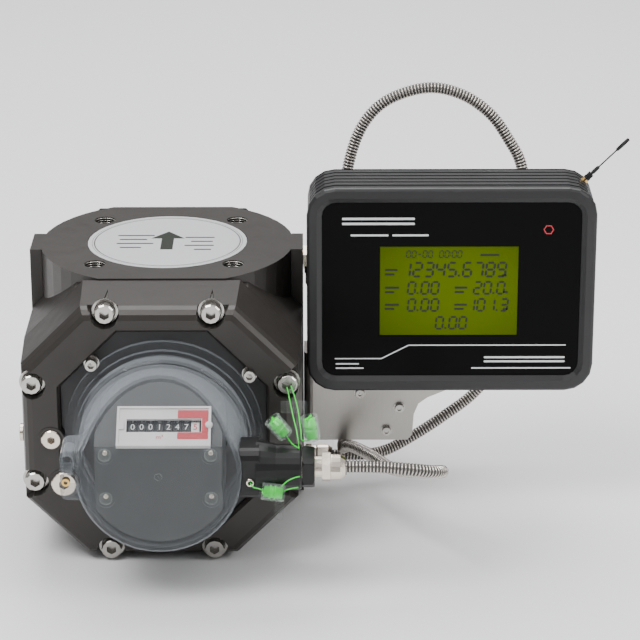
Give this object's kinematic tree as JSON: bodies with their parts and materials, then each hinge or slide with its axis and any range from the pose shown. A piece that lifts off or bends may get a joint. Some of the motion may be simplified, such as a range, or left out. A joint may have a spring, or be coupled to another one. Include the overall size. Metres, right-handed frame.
{
  "type": "rotary gas meter with volume corrector",
  "caption": "Rotary-piston gas meter with flanged housing, clear index cover with counter, pulse sensor and a finned electronic volume corrector on a side bracket.",
  "frame": {"origin": "centre of the lower flange face, on the pipe axis", "axes": "+Z along the pipe towards the upper flange, -Y towards the reader of the index, +X towards the corrector"},
  "size_m": [0.3863, 0.2909, 0.2669],
  "materials": {
    "bronze_paint": "dark bronze-grey satin coating on cast aluminium",
    "dark_plate": "matt black",
    "bolt_steel": "bright stainless steel",
    "nickel": "nickel plated brass",
    "clear_plastic": "clear polycarbonate",
    "black_plastic": "satin black",
    "white_plastic": "satin white",
    "charcoal_paint": "charcoal powder coat on die casting",
    "window_black": "gloss black",
    "lcd": "olive green display",
    "board_green": "solder mask green",
    "cell_blue": "printed sleeve, plain",
    "sheet_steel": "brushed stainless sheet",
    "cast_aluminium": "machined casting",
    "rotor_aluminium": "machined",
    "gear_steel": "hobbed and oiled",
    "magnet": "dark magnet carrier",
    "dial_grey": "satin grey",
    "label_foil": "plain silver foil",
    "conduit": "wound stainless strip",
    "brass": "gold plated connector"
  },
  "bodies": {
    "meter_body": {"measuring_housing": "bronze_paint", "front_cover": "bronze_paint", "rear_cover": "bronze_paint", "index_base_plate": "dark_plate", "cover_bolt_1": "bolt_steel", "cover_bolt_2": "bolt_steel", "cover_bolt_3": "bolt_steel", "cover_bolt_4": "bolt_steel", "cover_bolt_5": "bolt_steel", "cover_bolt_6": "bolt_steel", "cover_bolt_7": "bolt_steel", "cover_bolt_8": "bolt_steel", "counter_axle": "bolt_steel", "front_bearing_left": "bolt_steel", "front_bearing_right": "bolt_steel", "rear_bearing_left": "bolt_steel", "rear_bearing_right": "bolt_steel", "fill_plug": "nickel", "level_plug": "nickel", "sensor_gland": "nickel", "case_gland_pressure": "nickel", "case_gland_sensor": "nickel", "case_gland_temperature": "nickel", "pressure_fitting": "nickel", "temperature_fitting": "nickel", "index_cover": "clear_plastic", "sensor_housing": "black_plastic", "sensor_nut": "black_plastic", "counter_frame": "white_plastic", "corrector_case": "charcoal_paint", "corrector_bezel": "charcoal_paint", "corrector_window": "window_black", "lcd_module": "lcd", "circuit_board": "board_green", "battery": "cell_blue", "mounting_bracket": "sheet_steel", "front_headplate": "cast_aluminium", "rear_headplate": "cast_aluminium", "dial_housing": "dial_grey", "inlet_label": "label_foil", "sensor_hose": "conduit", "temperature_hose": "conduit", "pressure_hose": "conduit", "antenna_base": "brass"},
    "rotor_right_set": {"rotor_right": "rotor_aluminium", "timing_gear_right": "gear_steel", "drive_magnet": "magnet"},
    "rotor_left_set": {"rotor_left": "rotor_aluminium", "timing_gear_left": "gear_steel"},
    "driven_magnet_body": {"driven_magnet": "magnet"},
    "antenna_elbow_body": {"antenna_elbow": "black_plastic"},
    "antenna_whip_body": {"antenna_whip": "black_plastic"},
    "wheel_1_body": {"number_wheel_1": "white_plastic"},
    "wheel_2_body": {"number_wheel_2": "black_plastic"},
    "wheel_3_body": {"number_wheel_3": "black_plastic"},
    "wheel_4_body": {"number_wheel_4": "black_plastic"},
    "wheel_5_body": {"number_wheel_5": "black_plastic"},
    "wheel_6_body": {"number_wheel_6": "black_plastic"},
    "wheel_7_body": {"number_wheel_7": "black_plastic"},
    "wheel_8_body": {"number_wheel_8": "black_plastic"}
  },
  "joints": [
    {"name": "rotor_right_spin", "type": "hinge", "parent": "meter_body", "child": "rotor_right_set", "pos_m": [0.028, 0, 0.0855], "axis": [0, 1, 0], "continuous": true},
    {"name": "rotor_left_spin", "type": "hinge", "parent": "meter_body", "child": "rotor_left_set", "pos_m": [-0.028, 0, 0.0855], "axis": [0, 1, 0], "continuous": true},
    {"name": "driven_magnet_spin", "type": "hinge", "parent": "meter_body", "child": "driven_magnet_body", "pos_m": [0.028, 0, 0.0855], "axis": [0, 1, 0], "continuous": true},
    {"name": "wheel_1_spin", "type": "hinge", "parent": "meter_body", "child": "wheel_1_body", "pos_m": [0.0056, -0.16583, 0.10407], "axis": [1, 0, 0], "continuous": true},
    {"name": "wheel_2_spin", "type": "hinge", "parent": "meter_body", "child": "wheel_2_body", "pos_m": [0.0056, -0.16583, 0.10407], "axis": [1, 0, 0], "continuous": true},
    {"name": "wheel_3_spin", "type": "hinge", "parent": "meter_body", "child": "wheel_3_body", "pos_m": [0.0056, -0.16583, 0.10407], "axis": [1, 0, 0], "continuous": true},
    {"name": "wheel_4_spin", "type": "hinge", "parent": "meter_body", "child": "wheel_4_body", "pos_m": [0.0056, -0.16583, 0.10407], "axis": [1, 0, 0], "continuous": true},
    {"name": "wheel_5_spin", "type": "hinge", "parent": "meter_body", "child": "wheel_5_body", "pos_m": [0.0056, -0.16583, 0.10407], "axis": [1, 0, 0], "continuous": true},
    {"name": "wheel_6_spin", "type": "hinge", "parent": "meter_body", "child": "wheel_6_body", "pos_m": [0.0056, -0.16583, 0.10407], "axis": [1, 0, 0], "continuous": true},
    {"name": "wheel_7_spin", "type": "hinge", "parent": "meter_body", "child": "wheel_7_body", "pos_m": [0.0056, -0.16583, 0.10407], "axis": [1, 0, 0], "continuous": true},
    {"name": "wheel_8_spin", "type": "hinge", "parent": "meter_body", "child": "wheel_8_body", "pos_m": [0.0056, -0.16583, 0.10407], "axis": [1, 0, 0], "continuous": true},
    {"name": "antenna_swivel", "type": "hinge", "parent": "meter_body", "child": "antenna_elbow_body", "pos_m": [0.27003, -0.0186, 0.21898], "axis": [0.7071, 0, 0.7071], "continuous": true},
    {"name": "antenna_tilt", "type": "hinge", "parent": "antenna_elbow_body", "child": "antenna_whip_body", "pos_m": [0.27286, -0.0186, 0.22181], "axis": [0, 1, 0], "range_deg": [-45, 45]}
  ],
  "couplings": [
    {"joint": "rotor_left_spin", "follows": "rotor_right_spin", "ratio": -1},
    {"joint": "driven_magnet_spin", "follows": "rotor_right_spin", "ratio": 1},
    {"joint": "wheel_1_spin", "follows": "rotor_right_spin", "ratio": 0.00577},
    {"joint": "wheel_2_spin", "follows": "rotor_right_spin", "ratio": 0.000577},
    {"joint": "wheel_3_spin", "follows": "rotor_right_spin", "ratio": 0.0000577},
    {"joint": "wheel_4_spin", "follows": "rotor_right_spin", "ratio": 0.00000577},
    {"joint": "wheel_5_spin", "follows": "rotor_right_spin", "ratio": 0.000000577},
    {"joint": "wheel_6_spin", "follows": "rotor_right_spin", "ratio": 0.0000000577},
    {"joint": "wheel_7_spin", "follows": "rotor_right_spin", "ratio": 0.00000000577},
    {"joint": "wheel_8_spin", "follows": "rotor_right_spin", "ratio": 0.000000000577}
  ]
}
